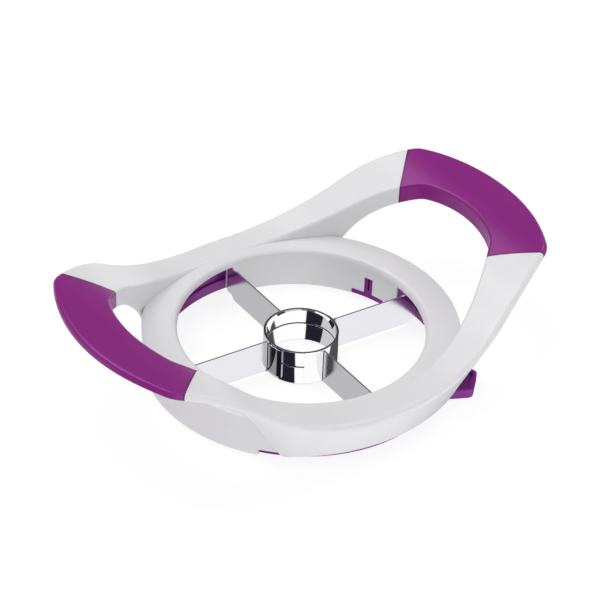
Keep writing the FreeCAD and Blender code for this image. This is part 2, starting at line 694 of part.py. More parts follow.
# ---------------------------------------------------------------- turning ring, lever, clips
def blade_slot(degrees):
    """Room for a turning blade through the ring's ledge and beside its holder."""
    slot = box(-2.0, BLADE_T / 2, CORE_R, turn_r0, -1, turn_top_z + 1)
    return turned(slot.mirror(Vector(0, 0, 0), Vector(1, 0, 0)), degrees - 90)


def holder(degrees):
    """Block on the ring that a turning blade lies flat against."""
    block = arc_tube(turn_r0 - HOLDER_REACH, turn_r0 + 1, HOLDER_Z, turn_top_z,
                     degrees - 1, degrees + HOLDER_DEG)
    beyond = box(-BLADE_T / 2, 3, CORE_R, turn_r1, -1, turn_top_z + 1)
    return block.cut(turned(beyond, degrees - 90))


def lever_half_width(radius):
    """Half of the lever's width, which tapers outwards."""
    taper = (LEVER_ROOT_W - LEVER_TIP_W) / 2 / (LEVER_R - RIM_OUTER_R)
    return LEVER_ROOT_W / 2 + (RIM_OUTER_R - radius) * taper


def lever_slot():
    """Slot in the base wall that the lever swings along, open at the bottom."""
    half_deg = math.degrees(math.asin(lever_half_width(base_inner_r) / base_inner_r))
    to_deg = LEVER_DEG + half_deg + math.degrees(SLOT_GAP / base_inner_r)
    from_deg = LEVER_DEG - TRAVEL_DEG - half_deg - math.degrees(SLOT_SPARE / base_inner_r)
    return arc_tube(base_inner_r - 1, RIM_OUTER_R + TURN_GAP, BASE_Z - 1, SLOT_TOP_Z,
                    from_deg, to_deg)


def make_lever():
    """Flat lever with a finger scoop in its top."""
    root = turn_r0 + TURN_FOOT_WALL / 2
    hw0 = lever_half_width(root)
    corners = [Vector(root, -hw0, 0), Vector(LEVER_R, -LEVER_TIP_W / 2, 0),
               Vector(LEVER_R, LEVER_TIP_W / 2, 0), Vector(root, hw0, 0)]
    lever = Part.Face(Part.makePolygon(corners + corners[:1])).extrude(Vector(0, 0, LEVER_H))
    lever = lever.cut(Part.makeCylinder(turn_r0 + EPS, LEVER_H + 2, Vector(0, 0, -1)))

    def outer_corner(p):
        return abs(p.x - LEVER_R) < EPS and abs(abs(p.y) - LEVER_TIP_W / 2) < EPS \
            and 0.1 < p.z < LEVER_H - 0.1

    lever = round_edges(lever, LEVER_ROUND, outer_corner)
    return turned(lever.cut(lever_scoop()), LEVER_DEG)


def lever_scoop():
    """Finger scoop in the lever's top, with a rim left all round."""
    e = SCOOP_EDGE
    r1 = LEVER_R - e
    r0 = r1 - SCOOP_L
    hw0 = lever_half_width(r0) - e
    hw1 = lever_half_width(r1) - e
    z = LEVER_H - SCOOP_DEPTH
    corners = [Vector(r0, -hw0, z), Vector(r1, -hw1, z), Vector(r1, hw1, z), Vector(r0, hw0, z)]
    return Part.Face(Part.makePolygon(corners + corners[:1])).extrude(Vector(0, 0, LEVER_H))


def make_turning_ring():
    ring = tube(turn_r0, turn_r1, TURN_FOOT_H, turn_top_z)
    ring = ring.fuse(tube(turn_r0, foot_r1, 0, TURN_FOOT_H))
    ring = ring.fuse(tube(turn_r0 - TURN_BEAD, turn_r0, bead_z, bead_z + TURN_BEAD_H))
    for half_turn in (0, 180):
        ring = ring.fuse(holder(REST_DEG + half_turn))
    for half_turn in (0, 180):
        ring = ring.cut(turned(blade_slot(REST_DEG), half_turn))
    return ring.fuse(make_lever())


def make_clip(half_turn):
    """Curved plate with a split finger that snaps into its T window."""
    plate = arc_tube(wall_r1, turn_r0 - TURN_GAP, INNER_WALL_Z, clip_top_z,
                     CLIP_DEG - CLIP_SPAN_DEG / 2, CLIP_DEG + CLIP_SPAN_DEG / 2)
    gap_deg = math.degrees(WINDOW_GAP / wall_r1)
    face_r = wall_r0 + FINGER_SINK
    bar = arc_tube(face_r, wall_r1 + EPS, INNER_WALL_Z, BAR_TOP_Z - WINDOW_GAP,
                   WINDOW_DEG - BAR_DEG / 2 + gap_deg, WINDOW_DEG + BAR_DEG / 2 - gap_deg)
    stem = arc_tube(face_r, wall_r1, INNER_WALL_Z, STEM_TOP_Z - WINDOW_GAP,
                    WINDOW_DEG - STEM_DEG / 2 + gap_deg, WINDOW_DEG + STEM_DEG / 2 - gap_deg)
    slit = box(face_r - 1, wall_r1 + 1, -PRONG_SLIT_W / 2, PRONG_SLIT_W / 2,
               PRONG_SLIT_Z, STEM_TOP_Z + 1)
    clip = plate.fuse(bar).fuse(stem).cut(turned(slit, WINDOW_DEG))
    return turned(clip, half_turn)


# ---------------------------------------------------------------- all pieces
def make_parts():
    band = rounded_band()
    core = handle_core()
    seam_low = CORE_SEAM_Z - CORE_SEAM_GAP / 2
    seam_high = CORE_SEAM_Z + CORE_SEAM_GAP / 2
    fixed = (fixed_blade_r, FIXED_BLADE_Z, FIXED_STEP_R, 1, CORE_BOTTOM_Z - 1, seam_high)
    turning = (turn_r0, TURNING_BLADE_Z, TURNING_STEP_R, -1, seam_low, CORE_TOP_Z + 1)
    return {
        "body": make_body(band, core),
        "left_grip": make_grip(band, core, -1),
        "right_grip": make_grip(band, core, 1),
        "upper_core_ring": make_core_ring(seam_high, CORE_TOP_Z),
        "fixed_blade_back": make_blade(*fixed, FIXED_DEG),
        "fixed_blade_front": make_blade(*fixed, FIXED_DEG + 180),
        "lower_core_ring": make_core_ring(CORE_BOTTOM_Z, seam_low),
        "turning_blade_right": make_blade(*turning, REST_DEG),
        "turning_blade_left": make_blade(*turning, REST_DEG + 180),
        "turning_ring": make_turning_ring(),
        "right_clip": make_clip(0),
        "left_clip": make_clip(180),
    }


if __name__ == "__main__":
    os.makedirs("parts", exist_ok=True)
    for name, shape in make_parts().items():
        shape = shape.removeSplitter()
        if len(shape.Solids) == 1:
            shape = shape.Solids[0]
        shape.exportStep("parts/" + name + ".step")
        box_mm = shape.BoundBox
        print("%-20s valid=%s solids=%d volume=%.1f x %.1f..%.1f y %.1f..%.1f z %.2f..%.2f" % (
            name, shape.isValid(), len(shape.Solids), shape.Volume, box_mm.XMin, box_mm.XMax,
            box_mm.YMin, box_mm.YMax, box_mm.ZMin, box_mm.ZMax))
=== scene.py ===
"""Apple wedger press: finishes, core rings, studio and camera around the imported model.

The white body, the soft grips, the blades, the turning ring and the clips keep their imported
shapes and get their finishes here.  The two polished core rings are swept afresh, so that
they mirror their surroundings without facets.
"""

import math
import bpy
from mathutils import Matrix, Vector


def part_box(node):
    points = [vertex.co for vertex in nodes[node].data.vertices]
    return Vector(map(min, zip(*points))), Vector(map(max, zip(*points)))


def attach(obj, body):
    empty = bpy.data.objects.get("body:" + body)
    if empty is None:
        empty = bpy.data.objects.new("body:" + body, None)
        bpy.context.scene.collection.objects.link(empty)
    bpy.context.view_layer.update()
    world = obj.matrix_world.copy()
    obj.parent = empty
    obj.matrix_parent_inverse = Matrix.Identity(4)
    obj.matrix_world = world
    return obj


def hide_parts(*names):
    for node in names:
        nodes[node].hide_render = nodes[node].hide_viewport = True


bl_info = {
    "name": "Apple Wedger Press",
    "version": (1, 0, 0),
    "blender": (4, 5, 0),
    "location": "View3D > Sidebar > Wedger",
    "description": "Finishes, core rings and studio for an apple wedger press with folding blades",
    "category": "Object",
}

import bpy
from bpy.props import FloatProperty, FloatVectorProperty, PointerProperty
from mathutils import Matrix, Vector

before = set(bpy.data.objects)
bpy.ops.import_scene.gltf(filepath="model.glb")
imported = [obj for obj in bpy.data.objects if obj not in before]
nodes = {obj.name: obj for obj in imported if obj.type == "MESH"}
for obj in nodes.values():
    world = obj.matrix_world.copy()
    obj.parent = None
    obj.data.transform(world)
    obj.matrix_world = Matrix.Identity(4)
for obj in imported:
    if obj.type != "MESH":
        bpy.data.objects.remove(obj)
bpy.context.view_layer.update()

upper_low, upper_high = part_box("upper_core_ring")
lower_low, lower_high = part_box("lower_core_ring")

MM = 0.001
GRIPS = ("left_grip", "right_grip")
PURPLE_PIECES = ("turning_ring", "left_clip", "right_clip")
FIXED_BLADES = ("fixed_blade_back", "fixed_blade_front")
TURNING_BLADES = ("turning_blade_right", "turning_blade_left")

# the blades' tabs are polished out to about TAB_REACH from the core ring's axis
TAB_REACH = (upper_high.x - upper_low.x) / 2 + 1.3 * MM
TAB_FADE = 0.8 * MM
TAB_ROUGHNESS = 0.05
# the turning blades' polished tabs are darkened to this fraction: painted darkening that stands in
# for dark reflections
TURNING_TAB_PAINTED_DARK = 0.40
# painted shade along the grips' joints: there the grip colour is darkened to this fraction
JOINT_PAINTED_SHADE = 0.30

# noise scales, per metre, and the change of tone that the grinding lines make
WAVE_SCALE = 38.0
SMEAR_SCALE = 55.0
LINE_TONE = 0.10

# factors on the coordinates of the steel's lines: a small one draws them out that way
ALONG_Y = (1.0, 0.02, 1.0)
ALONG_X = (0.02, 1.0, 1.0)
ROUND_THE_RING = (0.2, 0.2, 1.0)
NO_DIRECTION = (1.0, 1.0, 1.0)

# sweep of the core rings; faces whose normals are steeper than the slope below count as the cut
# edge, and get its painted dark colour
RING_STEPS = 192
CORNER_STEPS = 4
PAINTED_DARK_EDGE_SLOPE = 0.35

# floor, lamps and surround
FLOOR_HALF = 3.0
FLOOR_DROP = 1e-5
LAMP_AIM_Z = 20 * MM
WHITE = (1.0, 1.0, 1.0, 1)
SEEN_FLOOR_COLOUR = (0.20, 0.20, 0.205, 1)
SEEN_FLOOR_GLOW = 0.86
EVEN_COLOUR = (0.955, 0.955, 1.0, 1)

# what the steel mirrors: two flags end at a height, a direction's z, with a soft edge
FLAG_COLOUR = (0.006, 0.005, 0.014, 1)
MIRRORED_LEVEL = 1.03
FLAG_EDGE_GAIN = 8.0
HIGH_FLAG_FROM = 0.02
LOW_FLAG_BELOW = -0.25

# camera: the height that it aims at, and its shifts from there in pixels of the picture
SENSOR_WIDTH = 36.0
PICTURE_WIDTH = 600
AIM_Z = 1.365 * MM
SHIFT_RIGHT = 0.05
SHIFT_UP = 58.29
CLIP_NEAR = 0.01
CLIP_FAR = 50


# ------------------------------------------------------------------ settings
class WedgerSizes(bpy.types.PropertyGroup):
    """Sizes of the core rings, and of the fine lines and grain on the pieces."""

    ring_wall: FloatProperty(
        name="Ring wall", description="Sheet thickness of the core rings",
        default=0.85 * MM, min=0.2 * MM, max=1.5 * MM, precision=5, unit="LENGTH")
    ring_edge: FloatProperty(
        name="Ring edge", description="Rounding radius of the core rings' rims",
        default=0.30 * MM, min=0.02 * MM, max=0.40 * MM, precision=5, unit="LENGTH")
    grip_grain: FloatProperty(
        name="Grip grain", description="Size of the fine grain on the soft grips",
        default=0.35 * MM, min=0.1 * MM, max=2 * MM, precision=5, unit="LENGTH")
    # width of the painted shade line along the grips' joints
    painted_joint_shade_width: FloatProperty(
        name="Joint line", description="Width of the dark line along the grips' joints",
        default=1.2 * MM, min=0.1 * MM, max=3 * MM, precision=5, unit="LENGTH")
    polish_line: FloatProperty(
        name="Polish lines", description="Spacing of the fine grinding lines on the blades",
        default=0.12 * MM, min=0.02 * MM, max=1 * MM, precision=5, unit="LENGTH")


class WedgerColours(bpy.types.PropertyGroup):
    """Colours of the finishes."""

    white_plastic: FloatVectorProperty(
        name="White plastic", description="Colour of the body",
        subtype="COLOR", size=3, default=(0.80, 0.80, 0.80), min=0, max=1)
    soft_grip: FloatVectorProperty(
        name="Soft grip", description="Colour of the soft grips",
        subtype="COLOR", size=3, default=(0.26, 0.018, 0.215), min=0, max=1)
    purple_plastic: FloatVectorProperty(
        name="Purple plastic", description="Colour of the turning ring, its lever and the clips",
        subtype="COLOR", size=3, default=(0.24, 0.022, 0.26), min=0, max=1)
    blade_steel: FloatVectorProperty(
        name="Blade steel", description="Colour of the ground blades",
        subtype="COLOR", size=3, default=(0.80, 0.80, 0.84), min=0, max=1)
    core_steel: FloatVectorProperty(
        name="Core ring steel", description="Colour of the polished core rings",
        subtype="COLOR", size=3, default=(0.97, 0.97, 0.98), min=0, max=1)
    # colour of the rings' dull cut edges, painted dark: it stands in for the shade in the seam
    # between the rings and for dark reflections along their rims
    cut_edge_painted_dark: FloatVectorProperty(
        name="Cut edge painted dark", description="Colour of the core rings' dull cut edges",
        subtype="COLOR", size=3, default=(0.10, 0.10, 0.13), min=0, max=1)
    floor: FloatVectorProperty(
        name="Floor", description="Colour of the studio floor",
        subtype="COLOR", size=3, default=(0.85, 0.85, 0.86), min=0, max=1)


class WedgerStudio(bpy.types.PropertyGroup):
    """Camera and light."""

    azimuth: FloatProperty(
        name="Azimuth", description="Direction that the camera looks from",
        default=math.radians(-36.49), subtype="ANGLE")
    elevation: FloatProperty(
        name="Elevation", description="Height of the camera above the horizon",
        default=math.radians(36.43), subtype="ANGLE")
    roll: FloatProperty(
        name="Roll", description="Tilt of the picture",
        default=math.radians(2.64), subtype="ANGLE")
    distance: FloatProperty(
        name="Distance", description="From the camera to the core ring",
        default=0.8885, min=0.1, max=5, unit="LENGTH")
    lens: FloatProperty(
        name="Lens", description="Focal length in millimetres",
        default=146.487, min=20, max=400)
    top_power: FloatProperty(
        name="Top light", description="Power of the long soft light overhead",
        default=4.9, min=0, max=100)
    back_power: FloatProperty(
        name="Back light", description="Power of the soft light high at the back",
        default=0.75, min=0, max=100)
    key_power: FloatProperty(
        name="Key light", description="Power of the near light at the right",
        default=0.40, min=0, max=100)
    front_power: FloatProperty(
        name="Front light", description="Power of the wide soft light low at the front",
        default=1.9, min=0, max=100)
    table_glow: FloatProperty(
        name="Table glow", description="Light that the white table throws up on the press",
        default=0.43, min=0, max=2)
    sky: FloatProperty(
        name="Surround", description="Strength of the even light from all round",
        default=0.49, min=0, max=2)


# ------------------------------------------------------------------ node helpers
def add_node(tree, kind, **settings):
    """New node with its plain settings and the values of its unlinked inputs."""
    node = tree.nodes.new(kind)
    for key, value in settings.items():
        if key in node.inputs:
            node.inputs[key].default_value = value
        else:
            setattr(node, key, value)
    return node


def feed(tree, socket, value):
    """Gives an input a number, or links it to another node's output."""
    if isinstance(value, (int, float)):
        socket.default_value = value
    else:
        tree.links.new(value, socket)


def math_node(tree, operation, a, b=None, clamp=False):
    """Output of a math node fed by sockets or numbers."""
    node = add_node(tree, "ShaderNodeMath", operation=operation, use_clamp=clamp)
    feed(tree, node.inputs[0], a)
    if b is not None:
        feed(tree, node.inputs[1], b)
    return node.outputs[0]


def split_place(tree, kind):
    """X, Y and Z outputs of one of the texture coordinates."""
    place = tree.nodes.new("ShaderNodeTexCoord").outputs[kind]
    split = tree.nodes.new("ShaderNodeSeparateXYZ")
    tree.links.new(place, split.inputs[0])
    return split.outputs


def noise_node(tree, place, scale, detail, roughness):
    """Value of a noise texture at a place."""
    noise = add_node(tree, "ShaderNodeTexNoise", Detail=detail, Roughness=roughness)
    tree.links.new(place, noise.inputs["Vector"])
    feed(tree, noise.inputs["Scale"], scale)
    return noise.outputs["Fac"]


def tinted(tree, colour, gain):
    """Colour socket scaled by a gain socket."""
    tint = add_node(tree, "ShaderNodeVectorMath", operation="SCALE")
    tree.links.new(colour, tint.inputs[0])
    tree.links.new(gain, tint.inputs["Scale"])
    return tint.outputs[0]


def colour4(colour, gain=1.0):
    """Colour with its alpha, scaled by a gain."""
    return tuple(min(1.0, c * gain) for c in colour) + (1.0,)


def surface_group(name, inputs):
    """Empty shader node group that gives a surface its colour, roughness and height."""
    group = bpy.data.node_groups.new(name, "ShaderNodeTree")
    for label, kind, value in inputs:
        socket = group.interface.new_socket(label, in_out="INPUT", socket_type=kind)
        socket.default_value = value
    for label, kind in (("Colour", "NodeSocketColor"), ("Roughness", "NodeSocketFloat"),
                        ("Height", "NodeSocketFloat")):
        group.interface.new_socket(label, in_out="OUTPUT", socket_type=kind)
    return group, group.nodes.new("NodeGroupInput"), group.nodes.new("NodeGroupOutput")


def moulded_surface_group():
    """Fine grain, soft waviness and slight tone changes of a moulded surface."""
    group, given, made = surface_group("moulded_surface", [
        ("Colour", "NodeSocketColor", (0.8, 0.8, 0.8, 1)),
        ("Tone change", "NodeSocketFloat", 0.03),
        ("Grain size", "NodeSocketFloat", 0.4 * MM),
        ("Grain depth", "NodeSocketFloat", 0.1),
        ("Roughness", "NodeSocketFloat", 0.4),
        ("Roughness change", "NodeSocketFloat", 0.05)])
    links = group.links
    place = group.nodes.new("ShaderNodeTexCoord").outputs["Object"]
    scale = math_node(group, "DIVIDE", 1.0, given.outputs["Grain size"])
    grain = noise_node(group, place, scale, detail=2.0, roughness=0.5)
    wave = noise_node(group, place, WAVE_SCALE, detail=3.0, roughness=0.55)
    spread = math_node(group, "SUBTRACT", wave, 0.5)
    gain = math_node(group, "MULTIPLY_ADD", spread, given.outputs["Tone change"])
    gain.node.inputs[2].default_value = 1.0
    rough = math_node(group, "MULTIPLY_ADD", spread, given.outputs["Roughness change"])
    links.new(given.outputs["Roughness"], rough.node.inputs[2])
    height = math_node(group, "MULTIPLY", grain, given.outputs["Grain depth"])
    links.new(tinted(group, given.outputs["Colour"], gain), made.inputs["Colour"])
    links.new(rough, made.inputs["Roughness"])
    links.new(height, made.inputs["Height"])
    return group


def ground_steel_group():
    """Fine parallel grinding lines along a chosen direction, with faint smears."""
    group, given, made = surface_group("ground_steel", [
        ("Colour", "NodeSocketColor", (0.8, 0.8, 0.8, 1)),
        ("Stretch", "NodeSocketVector", (1, 1, 1)),
        ("Line spacing", "NodeSocketFloat", 0.2 * MM),
        ("Line depth", "NodeSocketFloat", 0.1),
        ("Roughness", "NodeSocketFloat", 0.25),
        ("Smears", "NodeSocketFloat", 0.05)])
    links = group.links
    place = group.nodes.new("ShaderNodeTexCoord").outputs["Object"]
    stretched = add_node(group, "ShaderNodeVectorMath", operation="MULTIPLY")
    links.new(place, stretched.inputs[0])
    links.new(given.outputs["Stretch"], stretched.inputs[1])
    scale = math_node(group, "DIVIDE", 1.0, given.outputs["Line spacing"])
    lines = noise_node(group, stretched.outputs[0], scale, detail=3.0, roughness=0.6)
    smear = noise_node(group, place, SMEAR_SCALE, detail=2.0, roughness=0.5)
    line_spread = math_node(group, "SUBTRACT", lines, 0.5)
    smear_spread = math_node(group, "SUBTRACT", smear, 0.5)
    both = math_node(group, "ADD", line_spread, smear_spread)
    rough = math_node(group, "MULTIPLY_ADD", both, given.outputs["Smears"])
    links.new(given.outputs["Roughness"], rough.node.inputs[2])
    gain = math_node(group, "MULTIPLY_ADD", line_spread, LINE_TONE)
    gain.node.inputs[2].default_value = 1.0
    height = math_node(group, "MULTIPLY", lines, given.outputs["Line depth"])
    links.new(tinted(group, given.outputs["Colour"], gain), made.inputs["Colour"])
    links.new(rough, made.inputs["Roughness"])
    links.new(height, made.inputs["Height"])
    return group


def shared_group(name, maker):
    """Node group by name, built when it is first asked for."""
    return bpy.data.node_groups.get(name) or maker()


def start_material(name):
    """New node material and its main shader."""
    material = bpy.data.materials.new(name)
    material.use_nodes = True
    return material, material.node_tree, material.node_tree.nodes["Principled BSDF"]


def place_group(tree, group, **values):
    """Copy of a shared group in a material, with its own values."""
    node = tree.nodes.new("ShaderNodeGroup")
    node.node_tree = group
    for key, value in values.items():
        node.inputs[key.replace("_", " ")].default_value = value
    return node


def feed_shader(tree, shader, effect, bump_strength, bump_distance):
    """Colour, roughness and bump from a shared group into the main shader."""
    tree.links.new(effect.outputs["Colour"], shader.inputs["Base Color"])
    tree.links.new(effect.outputs["Roughness"], shader.inputs["Roughness"])
    bump = add_node(tree, "ShaderNodeBump", Strength=bump_strength, Distance=bump_distance)
    tree.links.new(effect.outputs["Height"], bump.inputs["Height"])
    tree.links.new(bump.outputs["Normal"], shader.inputs["Normal"])


def dress(obj, material):
    """Puts one material on a piece."""
    obj.data.materials.clear()
    obj.data.materials.append(material)


# ------------------------------------------------------------------ finishes
def white_plastic_material(colour):
    """Satin white moulded plastic."""
    material, tree, shader = start_material("white_satin_plastic")
    effect = place_group(tree, shared_group("moulded_surface", moulded_surface_group),
                         Colour=colour4(colour), Tone_change=0.03, Grain_size=0.5 * MM,
                         Grain_depth=0.25, Roughness=0.30, Roughness_change=0.08)
    feed_shader(tree, shader, effect, 0.12, 0.1 * MM)
    shader.inputs["Specular IOR Level"].default_value = 0.5
    shader.inputs["Subsurface Weight"].default_value = 0.12
    shader.inputs["Subsurface Radius"].default_value = (3.0 * MM, 2.8 * MM, 3.0 * MM)
    shader.inputs["Subsurface Scale"].default_value = 1.0
    return material


def joint_plane(grip):
    """Smallest |x| - |y| on a grip: where its two 45 degree joints stand."""
    return min(abs(v.co.x) - abs(v.co.y) for v in grip.data.vertices)


def mixed_colour(tree, factor, low, high):
    """Blend of two colours, each a socket or a fixed colour."""
    mix = add_node(tree, "ShaderNodeMix", data_type="RGBA")
    tree.links.new(factor, mix.inputs["Factor"])
    for socket, colour in ((mix.inputs["A"], low), (mix.inputs["B"], high)):
        if isinstance(colour, tuple):
            socket.default_value = colour
        else:
            tree.links.new(colour, socket)
    return mix.outputs["Result"]


def mixed_value(tree, factor, low, high):
    """Blend of two sockets or numbers."""
    mix = tree.nodes.new("ShaderNodeMix")
    tree.links.new(factor, mix.inputs["Factor"])
    feed(tree, mix.inputs["A"], low)
    feed(tree, mix.inputs["B"], high)
    return mix.outputs["Result"]


def beyond_joint(tree, joint, width):
    """Mask of the painted joint shade: 0 right at a grip's joints, rising to 1 a fine line's width
    away.
    """
    x, y, _z = split_place(tree, "Object")
    across = math_node(tree, "SUBTRACT", math_node(tree, "ABSOLUTE", x),
                       math_node(tree, "ABSOLUTE", y))
    past = math_node(tree, "SUBTRACT", across, joint)
    return math_node(tree, "DIVIDE", past, width, clamp=True)


def soft_grip_material(colour, grain, joint, painted_joint_shade_width):
    """Purple soft-touch rubber with a fine eroded grain, with painted shade along its joints."""
    material, tree, shader = start_material("purple_soft_grip")
    effect = place_group(tree, shared_group("moulded_surface", moulded_surface_group),
                         Colour=colour4(colour), Tone_change=0.08, Grain_size=grain,
                         Grain_depth=0.5, Roughness=0.27, Roughness_change=0.06)
    feed_shader(tree, shader, effect, 0.25, 0.06 * MM)
    # painted shade: the colour darkens towards the joints, where the grip meets the white body
    away = beyond_joint(tree, joint, painted_joint_shade_width)
    shaded = mixed_colour(tree, away, colour4(colour, JOINT_PAINTED_SHADE), effect.outputs["Colour"])
    tree.links.new(shaded, shader.inputs["Base Color"])
    shader.inputs["Specular IOR Level"].default_value = 0.48
    shader.inputs["Specular Tint"].default_value = (1.0, 0.50, 0.95, 1)
    shader.inputs["Sheen Weight"].default_value = 0.04
    shader.inputs["Sheen Roughness"].default_value = 0.4
    shader.inputs["Sheen Tint"].default_value = (0.9, 0.3, 0.8, 1)
    return material


def purple_plastic_material(colour):
    """Harder, glossier purple plastic of the turning ring and the clips."""
    material, tree, shader = start_material("purple_plastic")
    effect = place_group(tree, shared_group("moulded_surface", moulded_surface_group),
                         Colour=colour4(colour), Tone_change=0.06, Grain_size=0.6 * MM,
                         Grain_depth=0.3, Roughness=0.30, Roughness_change=0.10)
    feed_shader(tree, shader, effect, 0.12, 0.1 * MM)
    shader.inputs["Specular IOR Level"].default_value = 0.5
    shader.inputs["Specular Tint"].default_value = (1.0, 0.60, 1.0, 1)
    return material


def near_core(tree):
    """1 on the tabs round the core ring, fading to 0 a little way out along the blades."""
    place = tree.nodes.new("ShaderNodeTexCoord").outputs["Object"]
    flat = add_node(tree, "ShaderNodeVectorMath", operation="MULTIPLY")
    tree.links.new(place, flat.inputs[0])
    flat.inputs[1].default_value = (1, 1, 0)
    length = add_node(tree, "ShaderNodeVectorMath", operation="LENGTH")
    tree.links.new(flat.outputs[0], length.inputs[0])
    past = math_node(tree, "SUBTRACT", TAB_REACH, length.outputs["Value"])
    return math_node(tree, "DIVIDE", past, TAB_FADE, clamp=True)


def blade_material(name, colour, polish, spacing, stretch, tab_painted_dark):
    """Ground stainless sheet with lines along the blade and a polished tab, its colour scaled down
    by a painted darkening that stands in for dark reflections.
    """
    material, tree, shader = start_material(name)
    effect = place_group(tree, shared_group("ground_steel", ground_steel_group),
                         Colour=colour4(colour), Stretch=stretch, Line_spacing=spacing,
                         Line_depth=0.5, Roughness=0.17, Smears=0.12)
    feed_shader(tree, shader, effect, 0.10, 0.02 * MM)
    tab = near_core(tree)
    # the tab's polish colour, scaled by the painted darkening that stands in for dark reflections
    shaded = mixed_colour(tree, tab, effect.outputs["Colour"], colour4(polish, tab_painted_dark))
    tree.links.new(shaded, shader.inputs["Base Color"])
    rough = mixed_value(tree, tab, effect.outputs["Roughness"], TAB_ROUGHNESS)
    tree.links.new(rough, shader.inputs["Roughness"])
    shader.inputs["Metallic"].default_value = 1.0
    return material


def core_ring_material(colour):
    """Mirror-polished steel with the faintest drawing lines round the ring."""
    material, tree, shader = start_material("polished_core_steel")
    effect = place_group(tree, shared_group("ground_steel", ground_steel_group),
                         Colour=colour4(colour), Stretch=ROUND_THE_RING, Line_spacing=0.6 * MM,
                         Line_depth=0.3, Roughness=0.045, Smears=0.03)
    feed_shader(tree, shader, effect, 0.03, 0.02 * MM)
    shader.inputs["Metallic"].default_value = 1.0
    return material


def cut_edge_painted_dark_material(colour):
    """Dull cut edges of the ring sheet, in a painted dark colour that stands in for the shade in
    the seam and dark reflections along the rims.
    """
    material, tree, shader = start_material("cut_steel_edge_painted_dark")
    effect = place_group(tree, shared_group("ground_steel", ground_steel_group),
                         Colour=colour4(colour), Stretch=NO_DIRECTION, Line_spacing=0.3 * MM,
                         Line_depth=0.4, Roughness=0.38, Smears=0.10)
    feed_shader(tree, shader, effect, 0.08, 0.02 * MM)
    shader.inputs["Metallic"].default_value = 1.0
    return material


# ------------------------------------------------------------------ core rings
def ring_tree():
    """Geometry Nodes tree that sweeps a sheet's rounded section round a circle."""
    tree = bpy.data.node_groups.new("swept_core_ring", "GeometryNodeTree")
    face = tree.interface
    for label, value in (("Radius", 13.65 * MM), ("Wall", 0.55 * MM), ("Edge", 0.18 * MM),
                         ("Low", 0.0), ("High", 10 * MM)):
        socket = face.new_socket(label, in_out="INPUT", socket_type="NodeSocketFloat")
        socket.default_value = value
    face.new_socket("Steel", in_out="INPUT", socket_type="NodeSocketMaterial")
    face.new_socket("Cut edge painted dark", in_out="INPUT", socket_type="NodeSocketMaterial")
    face.new_socket("Geometry", in_out="OUTPUT", socket_type="NodeSocketGeometry")
    given = tree.nodes.new("NodeGroupInput")
    made = tree.nodes.new("NodeGroupOutput")
    links = tree.links

    middle = math_node(tree, "MULTIPLY", given.outputs["Wall"], 0.5)
    path_radius = math_node(tree, "SUBTRACT", given.outputs["Radius"], middle)
    path = add_node(tree, "GeometryNodeCurvePrimitiveCircle", Resolution=RING_STEPS)
    links.new(path_radius, path.inputs["Radius"])
    height = math_node(tree, "SUBTRACT", given.outputs["High"], given.outputs["Low"])
    section = add_node(tree, "GeometryNodeCurvePrimitiveQuadrilateral")
    links.new(given.outputs["Wall"], section.inputs["Width"])
    links.new(height, section.inputs["Height"])
    rounded = add_node(tree, "GeometryNodeFilletCurve", mode="POLY")
    rounded.inputs["Count"].default_value = CORNER_STEPS
    links.new(section.outputs["Curve"], rounded.inputs["Curve"])
    links.new(given.outputs["Edge"], rounded.inputs["Radius"])
    sweep = tree.nodes.new("GeometryNodeCurveToMesh")
    links.new(path.outputs["Curve"], sweep.inputs["Curve"])
    links.new(rounded.outputs["Curve"], sweep.inputs["Profile Curve"])

    total = math_node(tree, "ADD", given.outputs["High"], given.outputs["Low"])
    lift = tree.nodes.new("ShaderNodeCombineXYZ")
    links.new(math_node(tree, "MULTIPLY", total, 0.5), lift.inputs["Z"])
    place = tree.nodes.new("GeometryNodeTransform")
    links.new(sweep.outputs["Mesh"], place.inputs["Geometry"])
    links.new(lift.outputs[0], place.inputs["Translation"])
    smooth = add_node(tree, "GeometryNodeSetShadeSmooth")
    links.new(place.outputs["Geometry"], smooth.inputs["Geometry"])
    real = tree.nodes.new("GeometryNodeRealizeInstances")
    links.new(smooth.outputs["Geometry"], real.inputs["Geometry"])
    steel = tree.nodes.new("GeometryNodeSetMaterial")
    links.new(real.outputs["Geometry"], steel.inputs["Geometry"])
    links.new(given.outputs["Steel"], steel.inputs["Material"])
    # the faces that look up or down are the dull cut edges; they get the painted dark colour,
    # which stands in for shade in the seam between the rings and dark reflections along their rims
    facing = tree.nodes.new("GeometryNodeInputNormal")
    split = tree.nodes.new("ShaderNodeSeparateXYZ")
    links.new(facing.outputs["Normal"], split.inputs[0])
    slope = math_node(tree, "ABSOLUTE", split.outputs["Z"])
    edge_on = math_node(tree, "GREATER_THAN", slope, PAINTED_DARK_EDGE_SLOPE)
    cut = tree.nodes.new("GeometryNodeSetMaterial")
    links.new(steel.outputs["Geometry"], cut.inputs["Geometry"])
    links.new(edge_on, cut.inputs["Selection"])
    links.new(given.outputs["Cut edge painted dark"], cut.inputs["Material"])
    links.new(cut.outputs["Geometry"], made.inputs["Geometry"])
    return tree


def set_input(modifier, label, value):
    """Sets a Geometry Nodes modifier's input by its socket's identifier."""
    for item in modifier.node_group.interface.items_tree:
        if item.item_type == "SOCKET" and item.in_out == "INPUT" and item.name == label:
            modifier[item.identifier] = value
            return
    raise RuntimeError("no input named " + label)


def plain_mesh(obj):
    """Turns a piece's evaluated result into its own plain mesh."""
    bpy.context.view_layer.update()
    depsgraph = bpy.context.evaluated_depsgraph_get()
    mesh = bpy.data.meshes.new_from_object(obj.evaluated_get(depsgraph), depsgraph=depsgraph)
    obj.modifiers.clear()
    obj.data = mesh
    mesh.name = obj.name
    return obj


